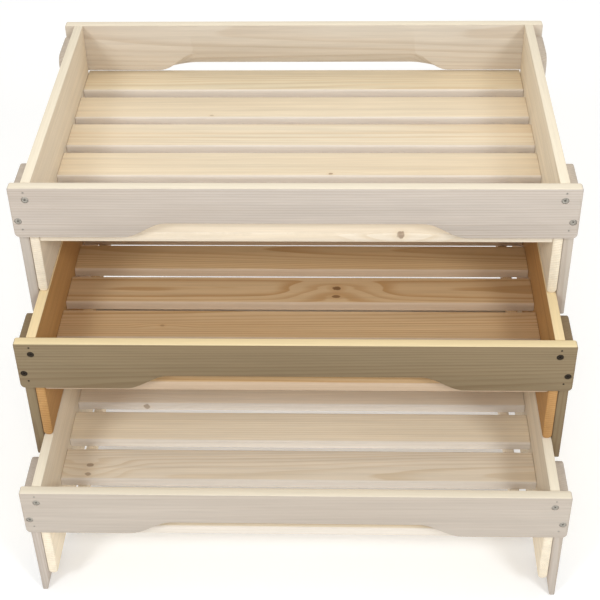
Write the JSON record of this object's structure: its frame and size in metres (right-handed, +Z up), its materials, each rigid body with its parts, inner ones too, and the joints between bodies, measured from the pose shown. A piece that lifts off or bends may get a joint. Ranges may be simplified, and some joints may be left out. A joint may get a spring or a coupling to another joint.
{
  "type": "stack of storage trays",
  "caption": "Stack of slatted wooden storage trays with open floors; the legs of each tray straddle the side boards of the tray below, so each tray lifts straight off.",
  "frame": {"origin": "on the floor, in the middle of the stack's outline", "axes": "+X to the right seen from the front, +Y away from the viewer towards the rear, +Z up"},
  "size_m": [0.65, 0.582, 0.506],
  "materials": {
    "pale_pine": "pale, unfinished planed pine",
    "oiled_pine": "golden brown oiled pine",
    "zinc_screw": "zinc-plated steel",
    "black_screw": "black oxide steel"
  },
  "bodies": {
    "bottom_tray": {"bottom_front_rail": "pale_pine", "bottom_rear_rail": "pale_pine", "bottom_side_left": "pale_pine", "bottom_side_right": "pale_pine", "bottom_leg_front_left": "pale_pine", "bottom_leg_front_right": "pale_pine", "bottom_leg_rear_left": "pale_pine", "bottom_leg_rear_right": "pale_pine", "bottom_batten_left": "pale_pine", "bottom_batten_right": "pale_pine", "bottom_slat_1": "pale_pine", "bottom_slat_2": "pale_pine", "bottom_slat_3": "pale_pine", "bottom_slat_4": "pale_pine", "bottom_slat_5": "pale_pine", "bottom_slat_6": "pale_pine", "bottom_screw_upper_left": "zinc_screw", "bottom_screw_upper_right": "zinc_screw", "bottom_screw_lower_left": "zinc_screw", "bottom_screw_lower_right": "zinc_screw"},
    "middle_tray": {"middle_front_rail": "oiled_pine", "middle_rear_rail": "oiled_pine", "middle_side_left": "oiled_pine", "middle_side_right": "oiled_pine", "middle_leg_front_left": "oiled_pine", "middle_leg_front_right": "oiled_pine", "middle_leg_rear_left": "oiled_pine", "middle_leg_rear_right": "oiled_pine", "middle_batten_left": "oiled_pine", "middle_batten_right": "oiled_pine", "middle_slat_1": "oiled_pine", "middle_slat_2": "oiled_pine", "middle_slat_3": "oiled_pine", "middle_slat_4": "oiled_pine", "middle_slat_5": "oiled_pine", "middle_slat_6": "oiled_pine", "middle_screw_upper_left": "black_screw", "middle_screw_upper_right": "black_screw", "middle_screw_lower_left": "black_screw", "middle_screw_lower_right": "black_screw"},
    "top_tray": {"top_front_rail": "pale_pine", "top_rear_rail": "pale_pine", "top_side_left": "pale_pine", "top_side_right": "pale_pine", "top_leg_front_left": "pale_pine", "top_leg_front_right": "pale_pine", "top_leg_rear_left": "pale_pine", "top_leg_rear_right": "pale_pine", "top_batten_left": "pale_pine", "top_batten_right": "pale_pine", "top_slat_1": "pale_pine", "top_slat_2": "pale_pine", "top_slat_3": "pale_pine", "top_slat_4": "pale_pine", "top_slat_5": "pale_pine", "top_slat_6": "pale_pine", "top_screw_upper_left": "zinc_screw", "top_screw_upper_right": "zinc_screw", "top_screw_lower_left": "zinc_screw", "top_screw_lower_right": "zinc_screw"}
  },
  "joints": [
    {"name": "middle_lift", "type": "slide", "parent": "bottom_tray", "child": "middle_tray", "axis": [0, 0, 1], "range_m": [0, 0.12]},
    {"name": "top_lift", "type": "slide", "parent": "middle_tray", "child": "top_tray", "axis": [0, 0, 1], "range_m": [0, 0.12]}
  ]
}
